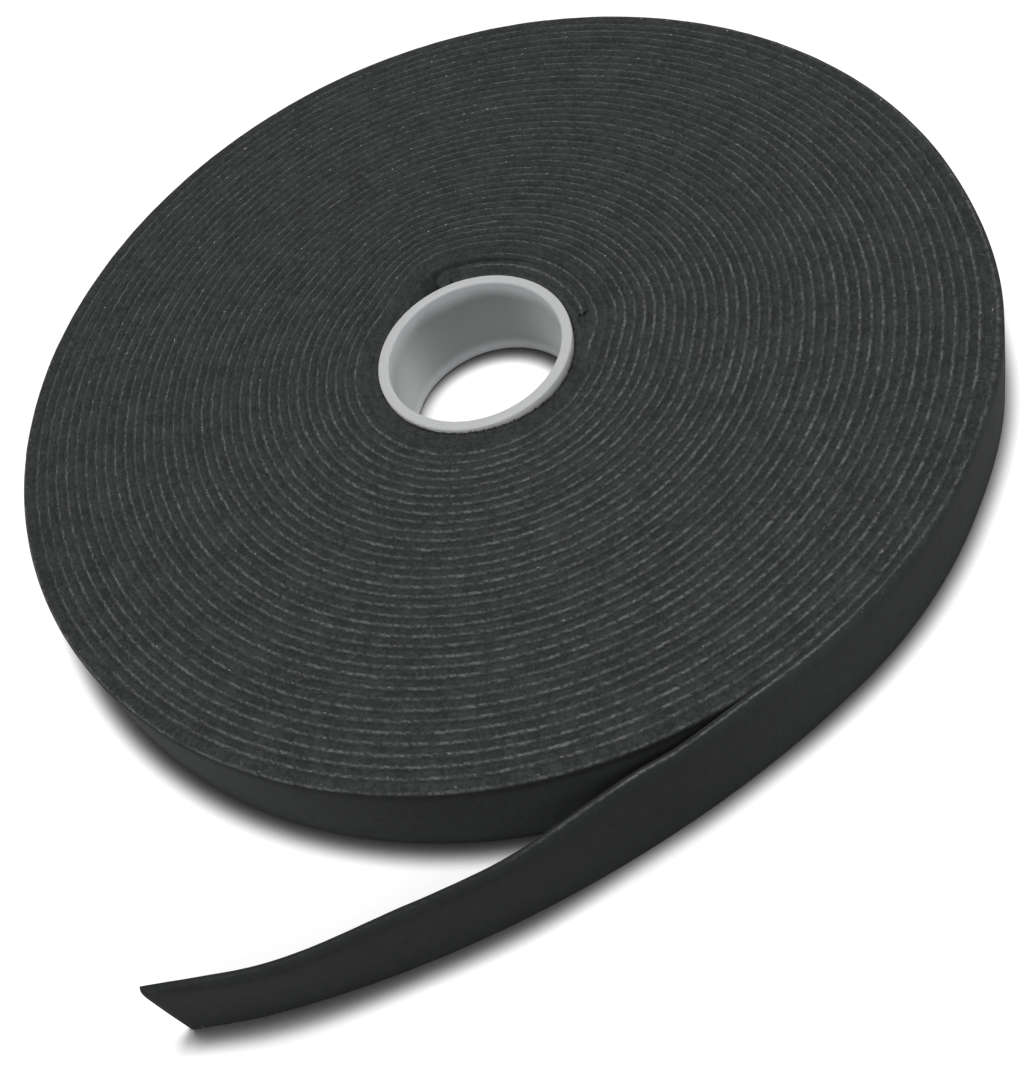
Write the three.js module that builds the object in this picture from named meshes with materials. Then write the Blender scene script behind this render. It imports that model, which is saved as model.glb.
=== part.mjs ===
// A roll of back-to-back hook and loop tape on a plastic core, lying flat with its free end loose.
// Millimetres, +Z up. The roll stands on z = 0, with the middle of its footprint at the origin.
import * as THREE from 'three';

// Core: a plain moulded tube, a little longer than the tape is wide
const CORE_OUTER_DIAMETER = 38;
const CORE_WALL = 1.7;
const CORE_PROUD = 1.2;
const CORE_EDGE_RADIUS = 0.4;
const CORE_SEGMENTS = 48;
const EDGE_STEPS = 2;

// Tape: the strip is the bonded pair of fabrics, and the gap is where hooks and loops of two turns mesh
const TAPE_WIDTH = 19;
const TAPE_THICKNESS = 1.3;
const GAP_AT_CORE = 0.55;
const GAP_AT_RIM = 0.82;

// Clearance where two separate solids meet
const SEAT_GAP = 0.3;

// Winding: it runs clockwise from above on its way out, in equal steps that line up from turn to turn
const STEPS_PER_TURN = 28;
const INNER_TURNS = 14;
const OUTER_TURNS = 23;
const LAST_TURN_STEPS = 12;

// Start of the tape: a hem folded back over the first turn, slack at the fold, which lifts the turns over it
const FOLD_ANGLE = THREE.MathUtils.degToRad(86);
const FOLD_STEPS = 6;
const HEM_STEPS = 7;
const STANDOFF_AT_FOLD = 2;
const STANDOFF_AT_END = 0.5;
const SLACK_AT_FOLD = 0.6;
const CLIMB_ANGLE = THREE.MathUtils.degToRad(40);
const DROP_ANGLE = THREE.MathUtils.degToRad(26);
const SETTLING_TURNS = 14;

// Free end: it springs away from the roll in a wider bend than the turns
const TAIL_LENGTH = 126;
const TAIL_BEND_RADIUS = 206;
const TAIL_STEPS = 12;

// Worked out from the sizes above
const STEP_ANGLE = 2 * Math.PI / STEPS_PER_TURN;
const WOUND_STEPS = (INNER_TURNS + OUTER_TURNS) * STEPS_PER_TURN + LAST_TURN_STEPS;
const WOUND_TURNS = WOUND_STEPS / STEPS_PER_TURN;
const CORE_OUTER_RADIUS = CORE_OUTER_DIAMETER / 2;
const FLAT_STEP_RADIUS = (CORE_OUTER_RADIUS + SEAT_GAP) / Math.cos(STEP_ANGLE / 2);
const FIRST_RADIUS = FLAT_STEP_RADIUS + TAPE_THICKNESS / 2;
const HEM_PITCH = TAPE_THICKNESS + GAP_AT_CORE;
const HEM_ARC = HEM_STEPS * STEP_ANGLE;
const FOLD_RADIUS = (HEM_PITCH + STANDOFF_AT_FOLD) / 2;

const coreMaterial = new THREE.MeshStandardMaterial({ color: 0xc6c9ca, roughness: 0.45, metalness: 0 });
const tapeMaterial = new THREE.MeshStandardMaterial({ color: 0x2e3031, roughness: 0.95, metalness: 0 });

// Thickness of tape wound on the core after a number of turns, with gaps that widen towards the rim
function woundHeight(turns) {
  const gapGrowth = (GAP_AT_RIM - GAP_AT_CORE) / (2 * WOUND_TURNS);
  return turns * (TAPE_THICKNESS + GAP_AT_CORE + gapGrowth * turns);
}

// How near the fold a place on the hem is, at an angle past the fold: 1 at the fold, 0 at the cut end
function foldShare(angle) {
  return 1 - THREE.MathUtils.clamp(angle / HEM_ARC, 0, 1);
}

// How far the hem stands off the first turn
function hemStandoff(angle) {
  return THREE.MathUtils.lerp(STANDOFF_AT_END, STANDOFF_AT_FOLD, foldShare(angle));
}

// Lift of a turn right over the hem: it climbs onto the fold and comes down past the cut end
function hemBump(angle) {
  const rise = THREE.MathUtils.smoothstep(angle, -CLIMB_ANGLE, 0);
  const fall = THREE.MathUtils.smoothstep(angle, HEM_ARC, HEM_ARC + DROP_ANGLE);
  const height = HEM_PITCH + hemStandoff(angle) + SLACK_AT_FOLD * foldShare(angle);
  return height * (rise - fall);
}

// What is left of that bump far out, where the turns are round again but off centre
function settledBump(angle) {
  let sum = 0;
  for (let step = 0; step < STEPS_PER_TURN; step += 1) {
    const other = step * STEP_ANGLE - Math.PI;
    sum += hemBump(other) * (1 + 2 * Math.cos(angle - other));
  }
  return sum / STEPS_PER_TURN;
}

// How much of the start's shape a turn still shows
function freshness(turns) {
  return Math.exp(-Math.max(0, turns - 1) / SETTLING_TURNS);
}

// Lift of the tape by the hem after a number of turns from the fold
function hemLift(turns) {
  if (turns < 0.5) {
    return 0;
  }
  const angle = (turns - Math.round(turns)) * 2 * Math.PI;
  return THREE.MathUtils.lerp(settledBump(angle), hemBump(angle), freshness(turns));
}

// Turns that count for the height: near the core each turn lies level until it climbs onto the fold
function levelTurns(turns) {
  const whole = Math.floor(turns);
  const angle = (turns - whole) * 2 * Math.PI;
  const climbed = THREE.MathUtils.smoothstep(angle, 2 * Math.PI - CLIMB_ANGLE, 2 * Math.PI);
  return THREE.MathUtils.lerp(turns, whole + climbed, freshness(turns));
}

function polar(radius, angle) {
  return new THREE.Vector2(radius * Math.cos(angle), radius * Math.sin(angle));
}

// Middle of the wound tape, seen from above, at a step counted from the fold
function woundPoint(step) {
  const turns = step / STEPS_PER_TURN;
  const radius = FIRST_RADIUS + woundHeight(levelTurns(turns)) + hemLift(turns);
  return polar(radius, FOLD_ANGLE - step * STEP_ANGLE);
}

function woundPath(firstStep, lastStep) {
  const path = [];
  for (let step = firstStep; step <= lastStep; step += 1) {
    path.push(woundPoint(step));
  }
  return path;
}

// The hem from its cut end back to the fold, and the fold down to the first turn
function startPath() {
  const path = [];
  for (let step = HEM_STEPS; step >= 0; step -= 1) {
    const onTurn = woundPoint(step);
    path.push(onTurn.setLength(onTurn.length() + HEM_PITCH + hemStandoff(step * STEP_ANGLE)));
  }
  const foldCentre = polar(FIRST_RADIUS + FOLD_RADIUS, FOLD_ANGLE);
  for (let step = 1; step < FOLD_STEPS; step += 1) {
    const turned = Math.PI * step / FOLD_STEPS;
    path.push(polar(FOLD_RADIUS, FOLD_ANGLE + turned).add(foldCentre));
  }
  return path;
}

// Moves the first point of a path along it, to leave a clearance to the solid before it
function trimStart(path, clearance) {
  const [first, second] = path;
  first.lerp(second, clearance / first.distanceTo(second));
  return path;
}

// The free end in its own frame: it starts along +X and bends to the right
function tailPath() {
  const path = [];
  for (let step = 0; step <= TAIL_STEPS; step += 1) {
    const turned = TAIL_LENGTH * step / TAIL_STEPS / TAIL_BEND_RADIUS;
    const across = Math.cos(turned) - 1;
    path.push(new THREE.Vector2(Math.sin(turned), across).multiplyScalar(TAIL_BEND_RADIUS));
  }
  return trimStart(path, SEAT_GAP);
}

// Offset to the tape's left face at each point of a path, mitred where the path turns
function sideOffsets(path) {
  const directions = path.slice(1).map((point, i) => point.clone().sub(path[i]).normalize());
  return path.map((point, i) => {
    const before = directions[Math.max(i - 1, 0)];
    const after = directions[Math.min(i, directions.length - 1)];
    const along = before.clone().add(after).normalize();
    const reach = TAPE_THICKNESS / 2 / along.dot(after);
    return new THREE.Vector2(-along.y, along.x).multiplyScalar(reach);
  });
}

// A closed strip of tape standing on edge along a path
function stripGeometry(path) {
  const offsets = sideOffsets(path);
  const positions = [];
  path.forEach((point, i) => {
    const left = point.clone().add(offsets[i]);
    const right = point.clone().sub(offsets[i]);
    positions.push(left.x, left.y, 0, left.x, left.y, TAPE_WIDTH);
    positions.push(right.x, right.y, TAPE_WIDTH, right.x, right.y, 0);
  });
  const indices = [];
  const addQuad = (a, b, c, d) => indices.push(a, b, c, a, c, d);
  const sides = 4;
  const last = (path.length - 1) * sides;
  for (let ring = 0; ring < last; ring += sides) {
    for (let side = 0; side < sides; side += 1) {
      const next = (side + 1) % sides;
      addQuad(ring + side, ring + next, ring + sides + next, ring + sides + side);
    }
  }
  addQuad(3, 2, 1, 0);
  addQuad(last, last + 1, last + 2, last + 3);
  const geometry = new THREE.BufferGeometry();
  geometry.setAttribute('position', new THREE.Float32BufferAttribute(positions, 3));
  geometry.setIndex(indices);
  const faceted = geometry.toNonIndexed();
  faceted.computeVertexNormals();
  return faceted;
}

// Least clear gap between stretches of one path that are further apart along it than a fold is long
function leastGap(path) {
  const apart = 2 * Math.PI * FOLD_RADIUS;
  const lengths = [0];
  for (let i = 1; i < path.length; i += 1) {
    lengths.push(lengths[i - 1] + path[i].distanceTo(path[i - 1]));
  }
  let least = Infinity;
  const nearest = new THREE.Vector3();
  path.forEach((point, i) => {
    const from = new THREE.Vector3(point.x, point.y, 0);
    for (let j = 1; j < i; j += 1) {
      if (lengths[i] - lengths[j] > apart) {
        const start = new THREE.Vector3(path[j - 1].x, path[j - 1].y, 0);
        const end = new THREE.Vector3(path[j].x, path[j].y, 0);
        new THREE.Line3(start, end).closestPointToPoint(from, true, nearest);
        least = Math.min(least, nearest.distanceTo(from) - TAPE_THICKNESS);
      }
    }
  });
  return least;
}

function winding(name, path) {
  console.log(`${name}: least gap to itself ${leastGap(path).toFixed(2)} mm`);
  const mesh = new THREE.Mesh(stripGeometry(path), tapeMaterial);
  mesh.name = name;
  return mesh;
}

function core() {
  const inner = CORE_OUTER_RADIUS - CORE_WALL;
  const top = TAPE_WIDTH + CORE_PROUD;
  const edge = CORE_EDGE_RADIUS;
  const corners = [
    [CORE_OUTER_RADIUS - edge, edge, -Math.PI / 2],
    [CORE_OUTER_RADIUS - edge, top - edge, 0],
    [inner + edge, top - edge, Math.PI / 2],
    [inner + edge, edge, Math.PI],
  ];
  const profile = [];
  corners.forEach(([radius, height, startAngle]) => {
    for (let step = 0; step <= EDGE_STEPS; step += 1) {
      const angle = startAngle + Math.PI / 2 * step / EDGE_STEPS;
      profile.push(polar(edge, angle).add(new THREE.Vector2(radius, height)));
    }
  });
  profile.push(profile[0].clone());
  const geometry = new THREE.LatheGeometry(profile, CORE_SEGMENTS);
  geometry.rotateX(Math.PI / 2);
  const mesh = new THREE.Mesh(geometry, coreMaterial);
  mesh.name = 'core';
  return mesh;
}

// The free end, in a group whose origin is the line it swings about, on the tape's outer face
function tail() {
  const end = woundPoint(WOUND_STEPS);
  const heading = end.angle() - Math.PI / 2;
  const hinge = new THREE.Group();
  hinge.position.set(end.x, end.y, 0);
  hinge.rotation.z = heading;
  hinge.translateY(TAPE_THICKNESS / 2);
  const mesh = new THREE.Mesh(stripGeometry(tailPath()), tapeMaterial);
  mesh.name = 'tape_tail';
  mesh.position.y = -TAPE_THICKNESS / 2;
  hinge.add(mesh);
  return hinge;
}

const seamStep = INNER_TURNS * STEPS_PER_TURN;
const innerPath = startPath().concat(woundPath(0, seamStep));
const outerPath = trimStart(woundPath(seamStep, WOUND_STEPS), SEAT_GAP);

const roll = new THREE.Group();
roll.add(core());
roll.add(winding('tape_inner_turns', innerPath));
roll.add(winding('tape_outer_turns', outerPath));
roll.add(tail());

const footprint = new THREE.Box3().setFromObject(roll, true).getCenter(new THREE.Vector3());
roll.position.set(-footprint.x, -footprint.y, 0);

export default roll;
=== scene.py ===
import math

import bpy
import numpy as np
from mathutils import Matrix, Vector

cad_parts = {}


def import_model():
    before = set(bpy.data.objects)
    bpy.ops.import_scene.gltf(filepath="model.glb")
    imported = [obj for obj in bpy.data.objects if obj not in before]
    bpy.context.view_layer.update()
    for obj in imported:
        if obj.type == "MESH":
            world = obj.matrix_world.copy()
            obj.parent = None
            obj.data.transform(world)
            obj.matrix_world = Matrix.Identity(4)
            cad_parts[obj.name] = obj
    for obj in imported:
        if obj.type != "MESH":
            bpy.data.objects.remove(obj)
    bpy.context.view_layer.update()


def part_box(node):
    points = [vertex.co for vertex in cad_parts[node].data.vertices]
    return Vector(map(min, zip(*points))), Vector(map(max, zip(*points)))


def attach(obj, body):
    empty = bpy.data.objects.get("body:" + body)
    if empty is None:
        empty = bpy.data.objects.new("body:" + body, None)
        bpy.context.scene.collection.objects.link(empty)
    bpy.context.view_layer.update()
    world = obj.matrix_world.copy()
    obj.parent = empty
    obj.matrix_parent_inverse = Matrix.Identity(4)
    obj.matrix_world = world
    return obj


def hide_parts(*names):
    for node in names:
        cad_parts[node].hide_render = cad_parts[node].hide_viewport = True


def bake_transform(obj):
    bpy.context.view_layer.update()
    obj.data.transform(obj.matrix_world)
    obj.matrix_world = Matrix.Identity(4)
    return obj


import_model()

MM = 0.001

# The frame's own places
core_low, core_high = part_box("core")
tape_low, tape_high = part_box("tape_inner_turns")
CORE_CENTRE = np.array([(core_low.x + core_high.x) / 2, (core_low.y + core_high.y) / 2])
CORE_RADIUS = (core_high.x - core_low.x) / 2
CORE_TOP = core_high.z
TAPE_WIDTH = tape_high.z - tape_low.z

# Core
CORE_WALL = 1.7 * MM
CORE_SWELL = 0.3 * MM
CORE_EDGE_RADIUS = 0.4 * MM
CORE_SEGMENTS = 160
CORE_EDGE_STEPS = 5
CORE_WALL_ROWS = 14

# Winding, as in the solids: clockwise from above on its way out
TAPE_THICKNESS = 1.3 * MM
GAP_AT_CORE = 0.55 * MM
GAP_AT_RIM = 0.82 * MM
SEAT_GAP = 0.3 * MM
STEPS_PER_TURN = 28
STEP_ANGLE = 2 * math.pi / STEPS_PER_TURN
INNER_TURNS = 14
MIDDLE_TURNS = 27
WOUND_TURNS = 37 + 12 / STEPS_PER_TURN
RIM_TURNS = 1
FIRST_RADIUS = (CORE_RADIUS + SEAT_GAP) / math.cos(STEP_ANGLE / 2) + TAPE_THICKNESS / 2

# Start of the tape: a hem folded back over the first turn, slack at the fold; later turns climb over it
FOLD_ANGLE = math.radians(86)
FOLD_STEPS = 16
HEM_PITCH = TAPE_THICKNESS + GAP_AT_CORE
HEM_TURNS = 7 / STEPS_PER_TURN
HEM_ARC = 2 * math.pi * HEM_TURNS
STANDOFF_AT_FOLD = 2 * MM
STANDOFF_AT_END = 0.5 * MM
SLACK_AT_FOLD = 0.6 * MM
CLIMB_ANGLE = math.radians(40)
DROP_ANGLE = math.radians(26)
SETTLING_TURNS = 14
FOLD_RADIUS = (HEM_PITCH + STANDOFF_AT_FOLD) / 2

# Free end: it leans in beside the roll and out further on, as a loose end does
TAIL_LENGTH = 126 * MM
TAIL_BEND_RADIUS = 206 * MM
TAIL_HALF_THICKNESS = 0.95 * MM
TAIL_SETTLING = 60 * MM
TAIL_ROOT_LEAN = -1.1 * MM
ROOT_LEAN_SPAN = (2 * MM, 24 * MM)
TAIL_NEXT_LEAN = -0.6 * MM
NEXT_LEAN_SPAN = (32 * MM, 42 * MM)
UPRIGHT_SPAN = (42 * MM, 69 * MM)
TAIL_EARLY_LEAN = 0.25 * MM
EARLY_LEAN_SPAN = (48 * MM, 69 * MM)
TAIL_LEAN = 1.25 * MM
LEAN_SPAN = (82 * MM, 105 * MM)
LEAN_END_SPAN = (106 * MM, 127 * MM)
TAIL_LIP_FADE = 0.9
TAIL_LIP_SPAN = (40 * MM, 70 * MM)
TIP_TAPER = 14 * MM
TIP_HALF_THICKNESS = 0.45 * MM
TIP_INNER_SHARE = 0.5
TIP_SLANT = 0.8 * MM

# Spacing of the sections along the tape
INNER_STEP = 1.1 * MM
OUTER_STEP = 1.6 * MM
RIM_STEP = 1.1 * MM
TAIL_STEP = 0.9 * MM
END_STEP = 0.02 * MM

# The pile fills the gaps between turns, except where they stand well apart
CLEARANCE = 0.006 * MM
LEAST_HALF = 0.66 * MM
MOST_HALF = 1.15 * MM
NOMINAL_HALF = 1.03 * MM
RIM_SWELL = 0.25 * MM
HEM_END_HALF = 2.2 * MM

# Sections of the tape's edge: share of the half thickness, from -1 on the core side, and height
WOUND_EDGE = np.array([
    (-1.00, -0.05 * MM),
    (-0.70, -0.02 * MM),
    (-0.35, -0.03 * MM),
    (-0.05, -0.03 * MM),
    (0.14, 0.02 * MM),
    (0.28, 0.03 * MM),
    (0.40, -0.22 * MM),
    (0.55, -0.19 * MM),
    (0.75, -0.12 * MM),
    (0.90, -0.06 * MM),
    (1.00, -0.05 * MM),
])

# On the rim the lip lies at the outer corner
RIM_EDGE = np.array([
    (-1.00, -0.05 * MM),
    (-0.60, -0.02 * MM),
    (-0.10, -0.03 * MM),
    (0.30, -0.03 * MM),
    (0.56, 0.02 * MM),
    (0.72, 0.00 * MM),
    (0.86, -0.20 * MM),
    (0.92, -0.32 * MM),
    (0.96, -0.48 * MM),
    (0.99, -0.70 * MM),
    (1.00, -1.00 * MM),
])

# How far the tape is rolled over where the free end leaves the roll
ROOT_LOOSE = 0.95

# On the loose end the lip lies at the inner corner, and the pile rolls over outside it
LOOSE_EDGE = np.array([
    (-1.00, -0.12 * MM),
    (-0.90, -0.03 * MM),
    (-0.82, 0.00 * MM),
    (-0.72, 0.00 * MM),
    (-0.60, -0.02 * MM),
    (-0.46, -0.05 * MM),
    (-0.30, -0.12 * MM),
    (0.05, -0.28 * MM),
    (0.45, -0.62 * MM),
    (0.82, -1.25 * MM),
    (1.00, -2.20 * MM),
])

# Rows of a section that make its lip, and how far each row follows the swell of the tape's far side
LIP_ROWS = (4, 5, 6)
SWELL_SHARES = [0, 0, 0, 0, 0.5, 0.5, 0.5, 0.65, 0.8, 0.92, 1]

# The lower edge, from the far side back to the core side
FOOT_EDGE = [
    (1.00, -0.12 * MM),
    (0.46, -0.15 * MM),
    (0.24, 0.0),
    (0.12, 0.0),
    (-0.10, -0.04 * MM),
    (-1.00, -0.12 * MM),
]

# The lip's place across the tape, and how it wanders there
LIP_SHARE = 0.33
LIP_WOBBLE = 0.10
SHORT_WOBBLE_SHARE = 0.6
SHORT_WOBBLE_LENGTH = 4.5 * MM
LONG_WOBBLE_LENGTH = 13 * MM

# Unevenness of the edges, which don't lie quite level, and of the pile on them
EDGE_RISE = 0.18 * MM
LONG_RISE_SHARE = 0.65
LONG_RISE_LENGTH = 170 * MM
SHORT_RISE_LENGTH = 21 * MM
PILE_ROUGHNESS = 0.035 * MM
PILE_ROUGH_LENGTH = 2.3 * MM

# Walls: rows of points, as shares of the height, and unevenness
WALL_ROWS = [0.015, 0.05, 0.15, 0.3, 0.45, 0.6, 0.74, 0.86]
WALL_BULGE = 0.08 * MM
WALL_ROUGHNESS = 0.012 * MM
WALL_ROUGH_LENGTH = 4 * MM

# Where the outermost turn comes clear, eases and rolls over like the free end, in turns from its start
RIM_START = 0.06
RIM_EASE = 0.55
RIM_EASE_SPAN = (0.3, 0.6)
ROOT_LOOSE_SPAN = (0.935, 0.995)
# Where the painted light in the wedge beside the free end fades out
WEDGE_SPAN = (0.06, 0.14)

# It bulges a little before the free end
BULGE_HEIGHT = 1.0 * MM
BULGE_TURNS = (37.25, 37.31, 37.315, 37.365)

# First turns sunk beside the core on one side, so that more of it shows there
SINK_PLACE = 0.36
SINK_REACH = 0.2
SINK_DEPTH = 1.5 * MM
SINK_FADE = 1.5

# More than the whole length of the tape, in metres, and the points in the table of lengths
LONGEST_TAPE = 16
TABLE_POINTS = 60000


def smoothstep(value, low, high):
    share = np.clip((value - low) / (high - low), 0, 1)
    return share * share * (3 - 2 * share)


# 1 between the two middle values, and 0 below the first and above the last
def plateau(value, rise_start, rise_end, fall_start, fall_end):
    return smoothstep(value, rise_start, rise_end) * (1 - smoothstep(value, fall_start, fall_end))


# Smooth random values from -1 to 1 along the tape, the same for a seed wherever they are read
def wander(along, wavelength, seed):
    knots = np.random.default_rng(seed).uniform(-1, 1, int(LONGEST_TAPE / wavelength) + 2)
    place = along / wavelength
    before = np.floor(place).astype(int)
    share = smoothstep(place - before, 0, 1)
    return knots[before] * (1 - share) + knots[before + 1] * share


# Path of the tape, seen from above
def wound_height(turns):
    gap_growth = (GAP_AT_RIM - GAP_AT_CORE) / (2 * WOUND_TURNS)
    return turns * (TAPE_THICKNESS + GAP_AT_CORE + gap_growth * turns)


def fold_share(angle):
    return 1 - np.clip(angle / HEM_ARC, 0, 1)


def hem_standoff(angle):
    return STANDOFF_AT_END + (STANDOFF_AT_FOLD - STANDOFF_AT_END) * fold_share(angle)


def hem_bump(angle):
    rise = smoothstep(angle, -CLIMB_ANGLE, 0)
    fall = smoothstep(angle, HEM_ARC, HEM_ARC + DROP_ANGLE)
    height = HEM_PITCH + hem_standoff(angle) + SLACK_AT_FOLD * fold_share(angle)
    return height * (rise - fall)


def settled_bump(angle):
    others = np.arange(STEPS_PER_TURN) * STEP_ANGLE - math.pi
    waves = 1 + 2 * np.cos(np.asarray(angle)[..., None] - others)
    return waves @ hem_bump(others) / STEPS_PER_TURN


def freshness(turns):
    return np.exp(-np.maximum(0, turns - 1) / SETTLING_TURNS)


def hem_lift(turns):
    angle = (turns - np.round(turns)) * 2 * math.pi
    fresh = freshness(turns)
    lift = fresh * hem_bump(angle) + (1 - fresh) * settled_bump(angle)
    return np.where(turns < 0.5, 0, lift)


def level_turns(turns):
    whole = np.floor(turns)
    angle = (turns - whole) * 2 * math.pi
    climbed = smoothstep(angle, 2 * math.pi - CLIMB_ANGLE, 2 * math.pi)
    return turns + freshness(turns) * (whole + climbed - turns)


def wound_radius(turns):
    return FIRST_RADIUS + wound_height(level_turns(turns)) + hem_lift(turns)


def polar(radius, angle):
    return np.stack([radius * np.cos(angle), radius * np.sin(angle)], axis=-1)


def wound_points(turns):
    return CORE_CENTRE + polar(wound_radius(turns), FOLD_ANGLE - 2 * math.pi * turns)


def path_lengths(points):
    steps = np.linalg.norm(np.diff(points, axis=0), axis=1)
    return np.concatenate([[0], np.cumsum(steps)])


def left_normals(points):
    direction = np.gradient(points, axis=0)
    direction /= np.linalg.norm(direction, axis=1, keepdims=True)
    return np.stack([-direction[:, 1], direction[:, 0]], axis=1)


def hem_points(turns):
    radius = FIRST_RADIUS + HEM_PITCH + hem_standoff(2 * math.pi * turns)
    return CORE_CENTRE + polar(radius, FOLD_ANGLE - 2 * math.pi * turns)


def fold_points(turned):
    centre = CORE_CENTRE + polar(FIRST_RADIUS + FOLD_RADIUS, FOLD_ANGLE)
    return centre + polar(FOLD_RADIUS, FOLD_ANGLE + turned)


def rim_bulge(turns):
    return BULGE_HEIGHT * plateau(turns, *BULGE_TURNS)


# Lengths along the tape, from the hem's cut end
HEM_SECTIONS = np.linspace(HEM_TURNS, 0, round(HEM_ARC * FIRST_RADIUS / INNER_STEP))
FOLD_SECTIONS = math.pi * np.arange(1, FOLD_STEPS) / FOLD_STEPS
START_POINTS = np.concatenate([hem_points(HEM_SECTIONS), fold_points(FOLD_SECTIONS)])
START_LENGTHS = path_lengths(START_POINTS)
START_LENGTH = START_LENGTHS[-1] + math.pi * FOLD_RADIUS / FOLD_STEPS
TABLE_TURNS = np.linspace(0, WOUND_TURNS, TABLE_POINTS)
TABLE_LENGTHS = START_LENGTH + path_lengths(wound_points(TABLE_TURNS))
WOUND_LENGTH = TABLE_LENGTHS[-1]


def length_at(turns):
    return np.interp(turns, TABLE_TURNS, TABLE_LENGTHS)


def turns_at(length):
    return np.interp(length, TABLE_LENGTHS, TABLE_TURNS)


# Height of the gap below and above a wound turn, from middle to middle
def gap_below(turns):
    radius = wound_radius(turns)
    to_core = 2 * (radius - CORE_RADIUS - CORE_SWELL)
    to_turn = radius - wound_radius(np.maximum(turns - 1, 0))
    to_hem = radius - FIRST_RADIUS - HEM_PITCH - hem_standoff(2 * math.pi * (turns - 1))
    on_hem = turns < 1 + HEM_TURNS
    return np.where(turns < 1, to_core, np.where(on_hem, to_hem, to_turn))


def gap_above(turns):
    to_turn = wound_radius(turns + 1) - wound_radius(turns)
    to_hem = HEM_PITCH + hem_standoff(2 * math.pi * turns)
    return np.where(turns < HEM_TURNS, to_hem, to_turn)


# The gaps stay open beside the fold, and pile fills them past the hem's end
FOLD_GAP_TURNS = (0.88, 0.94, 1.06, 1.12)
HEM_END_TURNS = 0.12


def wound_halves(turns):
    beside_fold = plateau(turns, *FOLD_GAP_TURNS)
    past_hem = (turns % 1 >= HEM_TURNS) & (turns % 1 < HEM_TURNS + HEM_END_TURNS) & (turns < 2)
    most = np.where(past_hem, HEM_END_HALF, MOST_HALF)
    most_below = most + beside_fold * (LEAST_HALF - MOST_HALF)
    most_above = np.where(turns < HEM_TURNS, HEM_END_HALF, most)
    inner = np.clip(gap_below(turns) / 2, LEAST_HALF, most_below) - CLEARANCE
    outer = np.clip(gap_above(turns) / 2, LEAST_HALF, most_above) - CLEARANCE
    return inner, outer


# How plainly the ground fabric's lip shows: faintly in the first two turns, but for beside the hem
FAINT_LIP = 0.15
LIP_OVER_HEM_TURNS = (1.02, 1.08, 1.30, 1.36)
LIP_CLEAR_TURNS = (2.2, 2.5)
LIP_UNEVENNESS = 0.2
LIP_UNEVEN_LENGTH = 90 * MM


def wound_lip(turns):
    clear = np.maximum(plateau(turns, *LIP_OVER_HEM_TURNS), smoothstep(turns, *LIP_CLEAR_TURNS))
    uneven = LIP_UNEVENNESS * wander(length_at(turns), LIP_UNEVEN_LENGTH, 21)
    return np.maximum(clear, FAINT_LIP) * (1 - LIP_UNEVENNESS + uneven)


def first_turns_sink(turns):
    aside = np.abs(turns % 1 - SINK_PLACE)
    return SINK_DEPTH * smoothstep(aside, SINK_REACH, 0) * np.exp(-SINK_FADE * np.floor(turns))


# A stretch of tape: its path and, at each point, its length from the hem's cut end, form and painted
# light and shade
def make_stretch(points, along, inner, outer, lip, **others):
    none = np.zeros(len(points))
    made = {"points": points, "along": along, "inner": inner, "outer": outer, "lip": lip}
    for name in ("swell", "rim", "loose", "sink", "lean", "slant"):
        made[name] = others.get(name, none)
    made["tint"] = others.get("tint", none + 1)
    return made


# Lengths of the sections, with one more close to each end, which keeps the smooth shading even there
def section_lengths(first, last, step):
    even = np.linspace(first, last, round((last - first) / step))
    return np.concatenate([even[:1], [first + END_STEP], even[1:-1], [last - END_STEP], even[-1:]])


def wound_stretch(first, last, step):
    along = section_lengths(length_at(first), length_at(last), step)
    turns = turns_at(along)
    inner, outer = wound_halves(turns)
    bared = turns - WOUND_TURNS + RIM_TURNS
    rim = smoothstep(bared, 0, RIM_START)
    # Painted light on the walls of the outermost turn, more in the wedge beside the free end, easing to
    # slight painted shade where the free end begins
    wedge_painted_light = WEDGE_PAINTED_LIGHT * (1 - smoothstep(bared, *WEDGE_SPAN))
    tint = 1 + rim * (RIM_PAINTED_LIGHT - 1 + (RIM_END_PAINTED_SHADING - RIM_PAINTED_LIGHT) * bared + wedge_painted_light)
    return make_stretch(
        wound_points(turns), along, inner, outer, wound_lip(turns),
        swell=RIM_SWELL * rim + rim_bulge(turns),
        rim=rim * (1 - RIM_EASE * smoothstep(bared, *RIM_EASE_SPAN)),
        loose=ROOT_LOOSE * smoothstep(bared, *ROOT_LOOSE_SPAN),
        sink=first_turns_sink(turns),
        tint=tint,
    )


# The hem runs the other way, so its far side faces the core
HEM_LIP = 0.9
HEM_LIP_TURNS = (0.01, 0.05)
HEM_FILL_TURNS = (0.06, 0.12)


def start_stretch():
    angle = 2 * math.pi * HEM_SECTIONS
    hem_fill = (HEM_PITCH + hem_standoff(angle)) / 2
    fold_fill = np.full(len(FOLD_SECTIONS), FOLD_RADIUS)
    outer = np.concatenate([hem_fill, fold_fill]) - CLEARANCE
    away = (HEM_PITCH + SLACK_AT_FOLD * fold_share(angle)) / 2 - CLEARANCE
    hem_away = LEAST_HALF + (away - LEAST_HALF) * smoothstep(HEM_SECTIONS, *HEM_FILL_TURNS)
    inner = np.concatenate([hem_away, np.full(len(FOLD_SECTIONS), LEAST_HALF)])
    hem_lip = HEM_LIP * smoothstep(HEM_SECTIONS, *HEM_LIP_TURNS)
    lip = np.concatenate([hem_lip, np.zeros(len(FOLD_SECTIONS))])
    return make_stretch(START_POINTS, START_LENGTHS, inner, outer, lip)


def join_stretches(first, second):
    return {name: np.concatenate([first[name], second[name]]) for name in first}


def tail_frame():
    end = wound_points(np.array([WOUND_TURNS]))[0]
    outward = (end - CORE_CENTRE) / np.linalg.norm(end - CORE_CENTRE)
    heading = np.array([outward[1], -outward[0]])
    return end, heading, outward


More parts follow.
